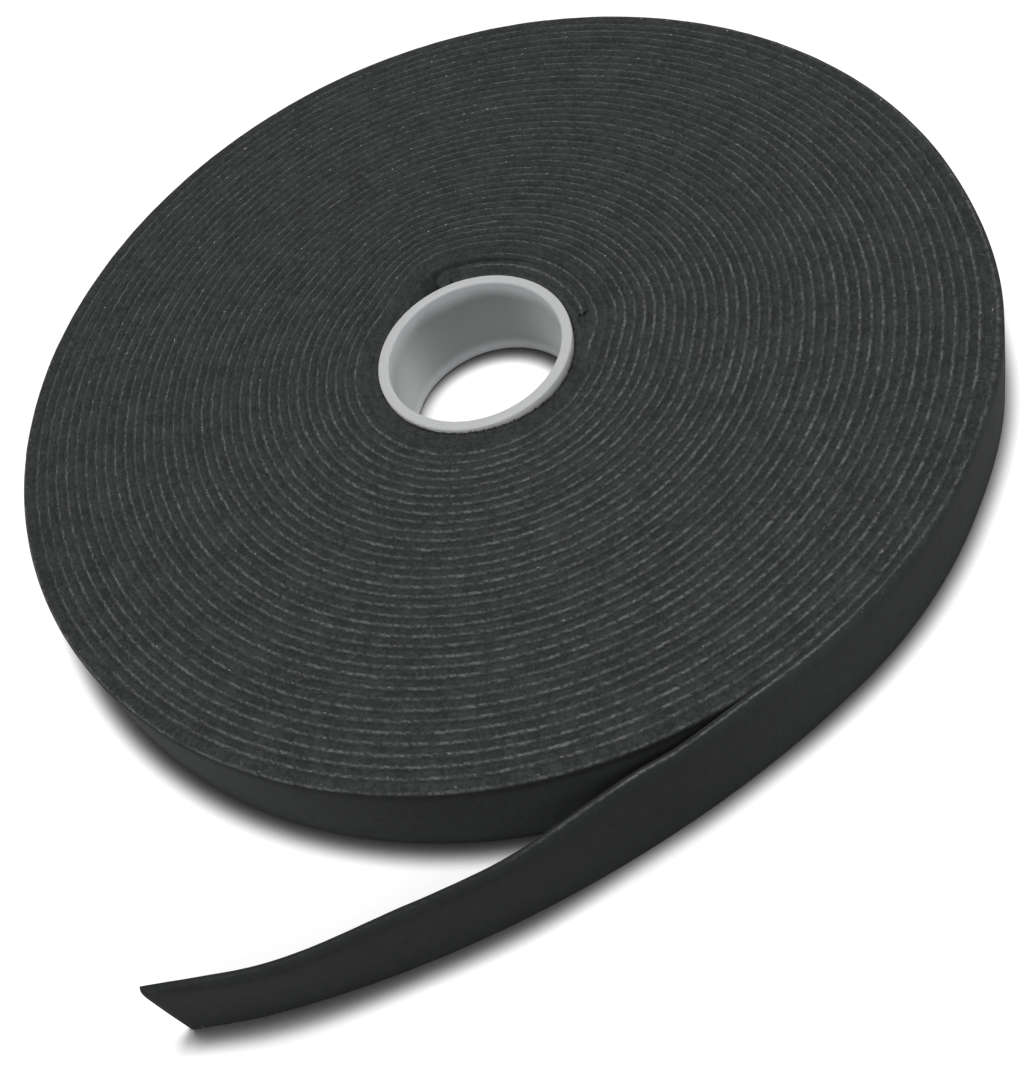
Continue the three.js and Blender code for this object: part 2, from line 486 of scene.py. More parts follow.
def tail_points(lengths):
    end, heading, outward = tail_frame()
    turned = lengths / TAIL_BEND_RADIUS
    forward = TAIL_BEND_RADIUS * np.sin(turned)
    aside = TAIL_BEND_RADIUS * (np.cos(turned) - 1)
    return end + np.outer(forward, heading) + np.outer(aside, outward)


def tail_lean(lengths):
    root = TAIL_ROOT_LEAN * smoothstep(lengths, *ROOT_LEAN_SPAN)
    further = TAIL_NEXT_LEAN * smoothstep(lengths, *NEXT_LEAN_SPAN)
    upright = smoothstep(lengths, *UPRIGHT_SPAN)
    early = TAIL_EARLY_LEAN * smoothstep(lengths, *EARLY_LEAN_SPAN)
    out = TAIL_LEAN * smoothstep(lengths, *LEAN_SPAN)
    back = 1 - smoothstep(lengths, *LEAN_END_SPAN)
    return (root + further) * (1 - upright) + (early + out) * back


def tip_share(lengths):
    return smoothstep(lengths, TAIL_LENGTH - TIP_TAPER, TAIL_LENGTH)


# The pile of the free end thins out towards its cut end
def tail_halves(lengths):
    inner, outer = wound_halves(np.array([WOUND_TURNS]))
    share = smoothstep(lengths, 0, TAIL_SETTLING)
    thin = tip_share(lengths) * (TAIL_HALF_THICKNESS - TIP_HALF_THICKNESS)
    inner = inner + share * (TAIL_HALF_THICKNESS - inner) - TIP_INNER_SHARE * thin
    outer = outer + share * (TAIL_HALF_THICKNESS - outer) - thin
    return inner, outer


def tail_stretch():
    lengths = section_lengths(0, TAIL_LENGTH, TAIL_STEP)
    inner, outer = tail_halves(lengths)
    lip = 1 - TAIL_LIP_FADE * smoothstep(lengths, *TAIL_LIP_SPAN)
    settled = smoothstep(lengths, 0, TAIL_SETTLING)
    return make_stretch(
        tail_points(lengths), WOUND_LENGTH + lengths, inner, outer, lip,
        swell=RIM_SWELL * (1 - settled),
        rim=np.full(len(lengths), 1 - RIM_EASE),
        loose=ROOT_LOOSE + (1 - ROOT_LOOSE) * settled,
        lean=tail_lean(lengths),
        slant=TIP_SLANT * tip_share(lengths),
        # Painted shade on the free end, growing from where it leaves the roll
        tint=RIM_END_PAINTED_SHADING + (TAIL_PAINTED_SHADE - RIM_END_PAINTED_SHADING) * smoothstep(lengths, 0, TAIL_PAINTED_SHADE_SPAN),
    )


# Height of a turn above the lowest one, because the turns don't lie quite level
def edge_rise(along):
    long_rise = 0.5 + 0.5 * wander(along, LONG_RISE_LENGTH, 11)
    short_rise = 0.5 + 0.5 * wander(along, SHORT_RISE_LENGTH, 12)
    return EDGE_RISE * (LONG_RISE_SHARE * long_rise + (1 - LONG_RISE_SHARE) * short_rise)


def edge_top(along):
    return TAPE_WIDTH - EDGE_RISE / 2 + edge_rise(along)


def lip_wobble(along):
    short = wander(along, SHORT_WOBBLE_LENGTH, 31)
    long = wander(along, LONG_WOBBLE_LENGTH, 32)
    return LIP_WOBBLE * (SHORT_WOBBLE_SHARE * short + (1 - SHORT_WOBBLE_SHARE) * long)


# Rings of points around the tape: up the core side, across the top, down the far side, back below
def tape_rings(stretch, rows):
    points = stretch["points"]
    along = stretch["along"]
    normals = left_normals(points)
    ahead = np.stack([normals[:, 1], -normals[:, 0]], axis=1)
    foot = edge_rise(along)
    top = edge_top(along) - stretch["sink"]
    wobble = lip_wobble(along) * stretch["outer"]
    columns = []
    shares = []
    tints = []

    # The mark is the share that the material reads, and the push takes it further from the lip's share
    def add(share, height, shift, mark, push=0):
        share = np.broadcast_to(share, len(points))
        half = np.where(share > 0, stretch["outer"], stretch["inner"])
        offset = share * half + shift + stretch["lean"] * height / TAPE_WIDTH
        reach = stretch["slant"] * height / TAPE_WIDTH
        place = points + normals * offset[:, None] + ahead * reach[:, None]
        columns.append(np.column_stack([place, height]))
        marked_half = stretch["outer"] if mark > 0 else stretch["inner"]
        shares.append(mark * marked_half / NOMINAL_HALF - push)

    def add_wall(side, parts):
        for row, part in enumerate(parts):
            rough = WALL_ROUGHNESS * wander(along, WALL_ROUGH_LENGTH, 40 + row + 10 * side)
            shift = side * WALL_BULGE * math.sin(math.pi * part) + rough
            if side > 0:
                shift = shift + stretch["swell"]
            add(side, foot + part * (top - foot), shift, side)
            # Painted light near the foot of each wall, against the shade there
            foot_painted_light = math.exp(-part * TAPE_WIDTH / FOOT_PAINTED_LIGHT_HEIGHT)
            tints.append(stretch["tint"] * (1 + FOOT_PAINTED_LIGHT * foot_painted_light))

    def add_top():
        for row in range(len(WOUND_EDGE)):
            rim = WOUND_EDGE[row] + stretch["rim"][:, None] * (RIM_EDGE[row] - WOUND_EDGE[row])
            share, height = (rim + stretch["loose"][:, None] * (LOOSE_EDGE[row] - rim)).T
            rough = PILE_ROUGHNESS * wander(along, PILE_ROUGH_LENGTH, 60 + row)
            shift = SWELL_SHARES[row] * stretch["swell"]
            if row in LIP_ROWS:
                shift = shift + wobble
            push = stretch["swell"] / MM if row < LIP_ROWS[0] else 0
            add(share, top + height + rough, shift, WOUND_EDGE[row, 0], push)
            # The top keeps only the painted shade, none of the painted light
            tints.append(np.minimum(stretch["tint"], 1))

    def add_foot():
        for row, (share, height) in enumerate(FOOT_EDGE):
            rough = PILE_ROUGHNESS * wander(along, PILE_ROUGH_LENGTH, 80 + row)
            add(share, np.maximum(foot - height - rough, 0), max(share, 0) * stretch["swell"], share)
            # The lower edge carries the painted light of the walls' foot
            tints.append(stretch["tint"] * (1 + FOOT_PAINTED_LIGHT))

    add_wall(-1, rows)
    add_top()
    add_wall(1, rows[::-1])
    add_foot()
    return np.stack(columns, axis=1), np.stack(shares, axis=1), np.stack(tints, axis=1)


def new_object(name, data, material):
    made = bpy.data.objects.new(name, data)
    data.materials.append(material)
    bpy.context.scene.collection.objects.link(made)
    return made


def set_attribute(data, name, values):
    attribute = data.attributes.new(name, "FLOAT", "POINT")
    attribute.data.foreach_set("value", np.asarray(values, np.float32).ravel())


# A closed strip of tape along a path, shaded smoothly but for its two flat ends
def tape_piece(name, stretch, rows, material):
    rings, shares, tints = tape_rings(stretch, rows)
    count, sides, _ = rings.shape
    ring, side = np.meshgrid(np.arange(count - 1), np.arange(sides), indexing="ij")
    here = ring * sides + side
    beside = ring * sides + (side + 1) % sides
    quads = np.stack([here, here + sides, beside + sides, beside], axis=-1).reshape(-1, 4)
    first = list(range(sides))
    last = list(range(count * sides - 1, (count - 1) * sides - 1, -1))
    data = bpy.data.meshes.new(name)
    data.from_pydata(rings.reshape(-1, 3).tolist(), [], quads.tolist() + [first, last])
    data.shade_smooth()
    for end in range(len(quads), len(quads) + 2):
        data.polygons[end].use_smooth = False
    set_attribute(data, "along", np.repeat(stretch["along"], sides))
    set_attribute(data, "across", shares)
    set_attribute(data, "lip", np.repeat(stretch["lip"], sides))
    set_attribute(data, "loose", np.repeat(stretch["loose"], sides))
    set_attribute(data, "tint", tints)
    return new_object(name, data, material)


# Fibres: thin closed three-sided threads with a slight arch, a little sunk into the pile
FIBRE_RINGS = np.array([0.0, 0.33, 0.67, 1.0])
FIBRE_TAPER = np.array([0.6, 1.0, 0.9, 0.35])
FIBRE_SIDES = 3
FIBRE_SINK = 0.04 * MM
STEEP = 0.8


def fibre_piece(name, fibres, material):
    start = np.concatenate([group["start"] for group in fibres])
    reach = np.concatenate([group["reach"] for group in fibres])
    arch = np.concatenate([group["arch"] for group in fibres])
    radius = np.concatenate([group["radius"] for group in fibres])
    shade = np.concatenate([group["shade"] for group in fibres])
    count = len(start)
    forward = reach / np.linalg.norm(reach, axis=1, keepdims=True)
    helper = np.where(np.abs(forward[:, 2:]) > STEEP, [[1.0, 0.0, 0.0]], [[0.0, 0.0, 1.0]])
    aside = np.cross(forward, helper)
    aside /= np.linalg.norm(aside, axis=1, keepdims=True)
    above = np.cross(forward, aside)
    bow = 4 * FIBRE_RINGS * (1 - FIBRE_RINGS)
    middle = start[:, None] + reach[:, None] * FIBRE_RINGS[:, None]
    middle[..., 2] += arch[:, None] * bow
    angle = 2 * math.pi * np.arange(FIBRE_SIDES) / FIBRE_SIDES
    spoke = aside[:, None] * np.cos(angle)[:, None] + above[:, None] * np.sin(angle)[:, None]
    size = radius[:, None, None, None] * FIBRE_TAPER[:, None, None]
    points = middle[:, :, None] + spoke[:, None] * size
    points[..., 2] = np.maximum(points[..., 2], 0)
    per_fibre = len(FIBRE_RINGS) * FIBRE_SIDES
    faces = []
    for ring in range(len(FIBRE_RINGS) - 1):
        for side in range(FIBRE_SIDES):
            beside = (side + 1) % FIBRE_SIDES
            low = ring * FIBRE_SIDES
            high = low + FIBRE_SIDES
            faces.append([low + side, low + beside, high + beside, high + side])
    caps = [list(range(FIBRE_SIDES))[::-1], list(range(per_fibre - FIBRE_SIDES, per_fibre))]
    base = np.arange(count)[:, None, None] * per_fibre
    quads = (base + np.array(faces)).reshape(-1, 4).tolist()
    ends = (base + np.array(caps)).reshape(-1, FIBRE_SIDES).tolist()
    data = bpy.data.meshes.new(name)
    data.from_pydata(points.reshape(-1, 3).tolist(), [], quads + ends)
    data.shade_smooth()
    set_attribute(data, "shade", np.repeat(shade, per_fibre))
    return new_object(name, data, material)


# Place on top of a wound turn, with the directions along and across the tape there
def edge_spots(turns, shares):
    angle = FOLD_ANGLE - 2 * math.pi * turns
    outward = polar(1, angle)
    ahead = np.stack([outward[:, 1], -outward[:, 0]], axis=1)
    inner, outer = wound_halves(turns)
    along = length_at(turns)
    offset = np.where(shares > 0, outer, inner) * shares + lip_wobble(along) * outer
    spots = wound_points(turns) + outward * offset[:, None]
    height = edge_top(along) - first_turns_sink(turns)
    return np.column_stack([spots, height]), ahead, outward


def flat_reach(ahead, outward, angle, length):
    flat = ahead * np.cos(angle)[:, None] + outward * np.sin(angle)[:, None]
    return np.column_stack([flat, np.zeros(len(angle))]) * length[:, None]


# Specks of pale lint that cling to the lip
FIRST_LINT_TURN = 2.4
SPECK_COUNT = 900
SPECK_SPREAD = 0.08
SPECK_SINK = 0.3


def specks_on_face():
    draw = np.random.default_rng(101)
    turns = turns_at(draw.uniform(length_at(FIRST_LINT_TURN), WOUND_LENGTH, SPECK_COUNT))
    spots, ahead, outward = edge_spots(turns, LIP_SHARE + draw.normal(0, SPECK_SPREAD, SPECK_COUNT))
    length = draw.uniform(0.15, 0.6, SPECK_COUNT) * MM
    radius = draw.uniform(0.03, 0.075, SPECK_COUNT) * MM
    spots[:, 2] -= SPECK_SINK * radius
    return {
        "start": spots,
        "reach": flat_reach(ahead, outward, draw.normal(0, 0.35, SPECK_COUNT), length),
        "arch": draw.uniform(0, 0.05, SPECK_COUNT) * MM,
        "radius": radius,
        "shade": draw.uniform(0.18, 0.62, SPECK_COUNT),
    }


# Short fuzz that frays the lip
LIP_FUZZ_COUNT = 6000
LIP_FUZZ_SPREAD = 0.15


def fuzz_on_lip():
    draw = np.random.default_rng(106)
    turns = turns_at(draw.uniform(length_at(FIRST_LINT_TURN), WOUND_LENGTH, LIP_FUZZ_COUNT))
    shares = LIP_SHARE + draw.normal(0, LIP_FUZZ_SPREAD, LIP_FUZZ_COUNT)
    spots, ahead, outward = edge_spots(turns, shares)
    spots[:, 2] -= FIBRE_SINK
    length = draw.uniform(0.3, 1.1, LIP_FUZZ_COUNT) * MM
    return {
        "start": spots,
        "reach": flat_reach(ahead, outward, draw.normal(0, 0.5, LIP_FUZZ_COUNT), length),
        "arch": draw.uniform(0.02, 0.14, LIP_FUZZ_COUNT) * MM,
        "radius": draw.uniform(0.018, 0.04, LIP_FUZZ_COUNT) * MM,
        "shade": draw.uniform(0.05, 0.2, LIP_FUZZ_COUNT),
    }


# Loose hairs that lie across the turns
FIRST_HAIR_TURN = 2.0
HAIR_COUNT = 520


def hairs_on_face():
    draw = np.random.default_rng(102)
    turns = turns_at(draw.uniform(length_at(FIRST_HAIR_TURN), WOUND_LENGTH, HAIR_COUNT))
    spots, ahead, outward = edge_spots(turns, draw.uniform(-0.9, 0.6, HAIR_COUNT))
    spots[:, 2] -= FIBRE_SINK
    length = draw.uniform(0.8, 2.6, HAIR_COUNT) * MM
    return {
        "start": spots,
        "reach": flat_reach(ahead, outward, draw.uniform(0.2, 2.9, HAIR_COUNT), length),
        "arch": draw.uniform(0.05, 0.22, HAIR_COUNT) * MM,
        "radius": draw.uniform(0.014, 0.026, HAIR_COUNT) * MM,
        "shade": draw.uniform(0.08, 0.24, HAIR_COUNT),
    }


# Dark pile of the first turn that stands against the core, most of it on one side
CORE_HAIR_SIDE = math.radians(-70)
CORE_HAIR_SPREAD = 1.4
CORE_HAIR_SHARE = 0.6
CORE_HAIR_COUNT = 800
CORE_HAIR_SINK = 0.45 * MM
CORE_HAIR_RISE = 0.8
CORE_HAIR_CLING = 0.05


def hairs_at_core():
    draw = np.random.default_rng(103)
    on_side = draw.uniform(0, 1, CORE_HAIR_COUNT) < CORE_HAIR_SHARE
    spread = np.where(on_side, CORE_HAIR_SPREAD, math.pi)
    angle = CORE_HAIR_SIDE + spread * draw.uniform(-1, 1, CORE_HAIR_COUNT)
    outward = polar(1, angle)
    sideways = np.stack([-outward[:, 1], outward[:, 0]], axis=1)
    length = draw.uniform(0.5, 1.3, CORE_HAIR_COUNT) * MM
    away = CORE_RADIUS + CORE_SWELL + draw.uniform(0.1, 0.4, CORE_HAIR_COUNT) * MM
    start = CORE_CENTRE + outward * away[:, None]
    turns = (FOLD_ANGLE - angle) / (2 * math.pi) % 1
    foot = TAPE_WIDTH - CORE_HAIR_SINK - first_turns_sink(turns)
    lean = draw.normal(0, 0.5, CORE_HAIR_COUNT)
    flat = sideways * lean[:, None] - outward * CORE_HAIR_CLING
    reach = np.column_stack([flat, np.full(CORE_HAIR_COUNT, CORE_HAIR_RISE)]) * length[:, None]
    return {
        "start": np.column_stack([start, foot]),
        "reach": reach,
        "arch": np.zeros(CORE_HAIR_COUNT),
        "radius": draw.uniform(0.03, 0.10, CORE_HAIR_COUNT) * MM,
        "shade": draw.uniform(0.02, 0.06, CORE_HAIR_COUNT),
    }


# Fuzz along the top of the free end near the roll, and lint on its lower corner and cut end
FUZZ_COUNT = 60
FUZZ_REACH = 68 * MM
FUZZ_SINK = 0.1 * MM
LINT_COUNT = 46
LINT_SINK = 0.02 * MM


def tail_directions(lengths):
    end, heading, outward = tail_frame()
    turned = lengths / TAIL_BEND_RADIUS
    ahead = np.outer(np.cos(turned), heading) - np.outer(np.sin(turned), outward)
    return ahead, np.stack([-ahead[:, 1], ahead[:, 0]], axis=1)


def fuzz_on_tail():
    draw = np.random.default_rng(104)
    lengths = draw.uniform(0, FUZZ_REACH, FUZZ_COUNT)
    ahead, outward = tail_directions(lengths)
    inner, _ = tail_halves(lengths)
    offset = tail_lean(lengths) + inner * draw.normal(-0.5, 0.1, FUZZ_COUNT)
    spots = tail_points(lengths) + outward * offset[:, None]
    height = edge_top(WOUND_LENGTH + lengths) - FUZZ_SINK
    length = draw.uniform(0.3, 0.8, FUZZ_COUNT) * MM
    return {
        "start": np.column_stack([spots, height]),
        "reach": flat_reach(ahead, outward, draw.normal(0, 0.3, FUZZ_COUNT), length),
        "arch": draw.uniform(0.02, 0.16, FUZZ_COUNT) * MM,
        "radius": draw.uniform(0.015, 0.03, FUZZ_COUNT) * MM,
        "shade": draw.uniform(0.06, 0.18, FUZZ_COUNT),
    }


def lint_on_tail():
    draw = np.random.default_rng(105)
    lengths = TAIL_LENGTH - draw.exponential(8, LINT_COUNT).clip(0.2, 30) * MM
    ahead, outward = tail_directions(lengths)
    _, half = tail_halves(lengths)
    spots = tail_points(lengths) + outward * (half - LINT_SINK)[:, None]
    height = draw.exponential(0.5, LINT_COUNT).clip(0.1, 6) * MM
    length = draw.uniform(0.25, 0.8, LINT_COUNT) * MM
    return {
        "start": np.column_stack([spots, height]),
        "reach": flat_reach(ahead, outward, draw.normal(0, 0.15, LINT_COUNT), length),
        "arch": draw.uniform(0, 0.1, LINT_COUNT) * MM,
        "radius": draw.uniform(0.02, 0.045, LINT_COUNT) * MM,
        "shade": draw.uniform(0.12, 0.45, LINT_COUNT),
    }


# Node helpers
def add_node(tree, kind, inputs=None, **settings):
    made = tree.nodes.new(kind)
    for name, value in settings.items():
        setattr(made, name, value)
    for name, value in (inputs or {}).items():
        socket = made.inputs[name]
        if isinstance(value, bpy.types.NodeSocket):
            tree.links.new(value, socket)
        else:
            socket.default_value = value
    return made


def math_node(tree, operation, first, second=0.0):
    return add_node(tree, "ShaderNodeMath", {0: first, 1: second}, operation=operation).outputs[0]


def map_range(tree, value, low, high, to_low=0.0, to_high=1.0):
    inputs = {"Value": value, "From Min": low, "From Max": high, "To Min": to_low, "To Max": to_high}
    return add_node(tree, "ShaderNodeMapRange", inputs, interpolation_type="SMOOTHSTEP").outputs[0]


def mix_colours(tree, share, first, second):
    inputs = {0: share, 6: first, 7: second}
    return add_node(tree, "ShaderNodeMix", inputs, data_type="RGBA").outputs[2]


def noise(tree, vector, size, detail=2.0):
    inputs = {"Vector": vector, "Scale": 1 / size, "Detail": detail}
    return add_node(tree, "ShaderNodeTexNoise", inputs).outputs["Fac"]


def attribute(tree, name):
    return add_node(tree, "ShaderNodeAttribute", attribute_name=name).outputs["Fac"]


def new_material(name):
    material = bpy.data.materials.new(name)
    material.use_nodes = True
    tree = material.node_tree
    return material, tree, tree.nodes["Principled BSDF"]


def bump(tree, height, strength, distance):
    inputs = {"Height": height, "Strength": strength, "Distance": distance}
    return add_node(tree, "ShaderNodeBump", inputs).outputs["Normal"]


# 1 on a surface that faces up, 0 on a wall and -1 on one that faces down
def facing_up(tree):
    normal = add_node(tree, "ShaderNodeNewGeometry").outputs["Normal"]
    return add_node(tree, "ShaderNodeSeparateXYZ", {0: normal}).outputs["Z"]


# Tape: dark pile with a paler, broken line where the ground fabric's edge shows
PILE_COLOUR = (0.0395, 0.0415, 0.0425, 1)
PILE_SHADE = (0.0205, 0.0215, 0.022, 1)
LIP_COLOUR = (0.185, 0.188, 0.188, 1)
# Painted light and shade that scale the pile's colour: painted light on the outermost turn's walls, in
# the wedge beside the free end and at the foot of the walls, and painted shade on the free end
RIM_PAINTED_LIGHT = 1.45
RIM_END_PAINTED_SHADING = 0.95
WEDGE_PAINTED_LIGHT = 1.0
FOOT_PAINTED_LIGHT = 0.7
FOOT_PAINTED_LIGHT_HEIGHT = 1.3 * MM
TAIL_PAINTED_SHADE = 0.72
TAIL_PAINTED_SHADE_SPAN = 40 * MM
CLOTH_ROUGHNESS = 0.92
CLOTH_SPECULAR = 0.1
RELIEF_SIZE = 0.35 * MM
RELIEF_STRENGTH = 0.3
RELIEF_DEPTH = 0.15 * MM
HEIGHT_SCALE = 0.3

# Mottled pile, calmer on the walls and on the free end
CLOUD_SIZE = 5 * MM
CLOUD_SHARE = 0.6
TUFT_SIZE = 1.4 * MM
STRAND_SIZE = 0.5 * MM
MOTTLE_RANGE = (0.95, 1.65)
EDGE_RANGE = (0.2, 0.7)
WALL_CONTRAST = 0.3
LOOSE_CONTRAST = 0.3


def pile_colour(tree, place, on_tape):
    clouds = noise(tree, place, CLOUD_SIZE, 2)
    tufts = noise(tree, on_tape, TUFT_SIZE, 2)
    strands = noise(tree, on_tape, STRAND_SIZE, 1)
    both = math_node(tree, "ADD", math_node(tree, "MULTIPLY", clouds, CLOUD_SHARE), tufts)
    total = math_node(tree, "ADD", both, strands)
    level = math_node(tree, "ABSOLUTE", facing_up(tree))
    on_edge = map_range(tree, level, *EDGE_RANGE, WALL_CONTRAST, 1)
    calm = map_range(tree, attribute(tree, "loose"), 0, 1, 1, LOOSE_CONTRAST)
    contrast = math_node(tree, "MINIMUM", on_edge, calm)
    streaks = math_node(tree, "SUBTRACT", map_range(tree, total, *MOTTLE_RANGE), 0.5)
    share = math_node(tree, "ADD", math_node(tree, "MULTIPLY", streaks, contrast), 0.5)
    colour = mix_colours(tree, share, PILE_SHADE, PILE_COLOUR)
    # The pile's colour is scaled by the painted light and shade at each point
    inputs = {0: colour, "Scale": attribute(tree, "tint")}
    return add_node(tree, "ShaderNodeVectorMath", inputs, operation="SCALE").outputs[0]


# The weave steps sideways again and again: from -0.5 to 0.5 over each period, uneven in length
WEAVE_PERIOD = 3.4 * MM
DRIFT_SIZE = 9 * MM
DRIFT_PERIODS = 5


def weave_step(tree, along):
    line = add_node(tree, "ShaderNodeCombineXYZ", {"X": along}).outputs[0]
    drift = math_node(tree, "MULTIPLY", noise(tree, line, DRIFT_SIZE, 1), DRIFT_PERIODS)
    phase = math_node(tree, "ADD", math_node(tree, "MULTIPLY", along, 1 / WEAVE_PERIOD), drift)
    return math_node(tree, "SUBTRACT", math_node(tree, "FRACT", phase), 0.5)


# Where the lip shows: near its share across the tape, frayed and broken, less so on the loose end, and
# dimmed by painted shade where it faces straight up
LIP_CORE = 0.04
LIP_REACH = 0.34
LOOSE_LIP_REACH = 0.18
FRAY_SIZE = 0.9 * MM
FRAY_REACH = 0.5
STEP_REACH = 0.16
LOOSE_FRAY = 0.35
JOIN_RANGE = (0.3, 0.5)
JOIN_LEVEL = 0.65
DASH_SIZE = 6 * MM
DASH_RANGE = (0.32, 0.66)
DASH_LEVEL = 0.3
THREAD_SIZE = 0.7 * MM
THREAD_RANGE = (0.35, 0.65)
THREAD_LEVEL = 0.3
LOOSE_THREAD_LEVEL = 0.6
# Painted shade on the lip where it faces up
LIP_PAINTED_SHADE_RANGE = (0.6, 0.95)
LIP_PAINTED_SHADE_LEVEL = 0.75


def lip_mask(tree, along, across, on_tape):
    loose = attribute(tree, "loose")
    step = weave_step(tree, along)
    fray = math_node(tree, "SUBTRACT", noise(tree, on_tape, FRAY_SIZE, 2), 0.5)
    stepped = math_node(tree, "MULTIPLY", step, STEP_REACH)
    uneven = math_node(tree, "ADD", math_node(tree, "MULTIPLY", fray, FRAY_REACH), stepped)
    aside = math_node(tree, "MULTIPLY", uneven, map_range(tree, loose, 0, 1, 1, LOOSE_FRAY))
    spot = math_node(tree, "ADD", math_node(tree, "SUBTRACT", across, LIP_SHARE), aside)
    reach = map_range(tree, loose, 0, 1, LIP_REACH, LOOSE_LIP_REACH)
    near = map_range(tree, math_node(tree, "ABSOLUTE", spot), LIP_CORE, reach, 1, 0)
    joined = map_range(tree, math_node(tree, "ABSOLUTE", step), *JOIN_RANGE, 1, JOIN_LEVEL)
    dashes = map_range(tree, noise(tree, on_tape, DASH_SIZE, 3), *DASH_RANGE, DASH_LEVEL, 1)
    thinnest = map_range(tree, loose, 0, 1, THREAD_LEVEL, LOOSE_THREAD_LEVEL)
    threads = map_range(tree, noise(tree, on_tape, THREAD_SIZE, 2), *THREAD_RANGE, thinnest, 1)
    # Painted shade: the lip is dimmer where it faces up than on its flank
    facing = map_range(tree, facing_up(tree), *LIP_PAINTED_SHADE_RANGE, 1, LIP_PAINTED_SHADE_LEVEL)
    bare = math_node(tree, "MULTIPLY", near, facing)
    shown = math_node(tree, "MULTIPLY", bare, attribute(tree, "lip"))
    broken = math_node(tree, "MULTIPLY", joined, math_node(tree, "MULTIPLY", dashes, threads))
    return math_node(tree, "MULTIPLY", shown, broken)


def tape_material():
    material, tree, shader = new_material("tape_fabric")
    place = add_node(tree, "ShaderNodeTexCoord").outputs["Object"]
    along = attribute(tree, "along")
    across = attribute(tree, "across")
    height = add_node(tree, "ShaderNodeSeparateXYZ", {0: place}).outputs["Z"]
    sideways = math_node(tree, "MULTIPLY", across, MM)
    inputs = {"X": along, "Y": sideways, "Z": math_node(tree, "MULTIPLY", height, HEIGHT_SCALE)}
    on_tape = add_node(tree, "ShaderNodeCombineXYZ", inputs).outputs[0]

    pile = pile_colour(tree, place, on_tape)
    mask = lip_mask(tree, along, across, on_tape)
    tree.links.new(mix_colours(tree, mask, pile, LIP_COLOUR), shader.inputs["Base Color"])

    fibres = noise(tree, on_tape, RELIEF_SIZE, 2)
    relief = bump(tree, fibres, RELIEF_STRENGTH, RELIEF_DEPTH)
    tree.links.new(relief, shader.inputs["Normal"])
    shader.inputs["Roughness"].default_value = CLOTH_ROUGHNESS
    shader.inputs["Specular IOR Level"].default_value = CLOTH_SPECULAR
    return material


# Lint, hairs and fuzz, each fibre with its own grey
def lint_material():
    material, tree, shader = new_material("tape_lint")
    shade = attribute(tree, "shade")
    colour = add_node(tree, "ShaderNodeCombineColor", {0: shade, 1: shade, 2: shade}).outputs[0]
    tree.links.new(colour, shader.inputs["Base Color"])
    shader.inputs["Roughness"].default_value = CLOTH_ROUGHNESS
    shader.inputs["Specular IOR Level"].default_value = CLOTH_SPECULAR
    return material


# Core: translucent plastic with painted glow at its ends and painted shade inside the tape, most of all
# beside the fold
CORE_COLOUR = (0.545, 0.56, 0.56, 1)
CORE_PAINTED_SHADE = (0.222, 0.235, 0.232, 1)
CORE_PAINTED_GLOW = (0.86, 0.87, 0.88, 1)
CORE_BORE_PAINTED_GLOW = (0.76, 0.77, 0.78, 1)
CORE_SHADED_PAINTED_GLOW = (0.58, 0.59, 0.61, 1)
CORE_RIM = (0.44, 0.445, 0.45, 1)
CORE_RIM_RANGE = (0.3, 0.9)
PAINTED_SHADE_ANGLE = math.radians(78)
PAINTED_SHADE_RANGE = (0.3 * CORE_RADIUS, 0.9 * CORE_RADIUS)
RIM_PAINTED_GLOW_DEPTH = 3.0 * MM
PAINTED_GLOW_FADE_BELOW = 2 * MM
PAINTED_GLOW_FADE_ABOVE = 2.4 * MM
PAINTED_GLOW_CLOUD_SIZE = 6 * MM
PAINTED_GLOW_UNEVENNESS = 3 * MM
FOOT_PAINTED_GLOW_RANGE = (0.3 * MM, 4 * MM)
CORE_ROUGHNESS = 0.45
CORE_SPECULAR = 0.3
CORE_SUBSURFACE = 0.5
CORE_SCATTER = 1.5 * MM
GRAIN_SIZE = 0.6 * MM
GRAIN_STRENGTH = 0.08
GRAIN_DEPTH = 0.2 * MM


def from_axis(tree, place):
    inputs = {0: place, 1: (1, 1, 0)}
    across = add_node(tree, "ShaderNodeVectorMath", inputs, operation="MULTIPLY").outputs[0]
    inputs = {0: across, 1: (*CORE_CENTRE, 0)}
    return add_node(tree, "ShaderNodeVectorMath", inputs, operation="SUBTRACT").outputs[0]


# 1 on the side of the core where the fold lies, which takes the painted shade, 0 on the other sides
def behind_fold(tree, place):
    inputs = {0: from_axis(tree, place), 1: (math.cos(PAINTED_SHADE_ANGLE), math.sin(PAINTED_SHADE_ANGLE), 0)}
    distance = add_node(tree, "ShaderNodeVectorMath", inputs, operation="DOT_PRODUCT").outputs["Value"]
    return map_range(tree, distance, *PAINTED_SHADE_RANGE)


# 1 on the core's outside, 0 in its bore
def outside_core(tree, place):
    inputs = {0: from_axis(tree, place)}
    distance = add_node(tree, "ShaderNodeVectorMath", inputs, operation="LENGTH").outputs["Value"]
    return map_range(tree, distance, CORE_RADIUS - 0.6 * CORE_WALL, CORE_RADIUS - 0.4 * CORE_WALL)


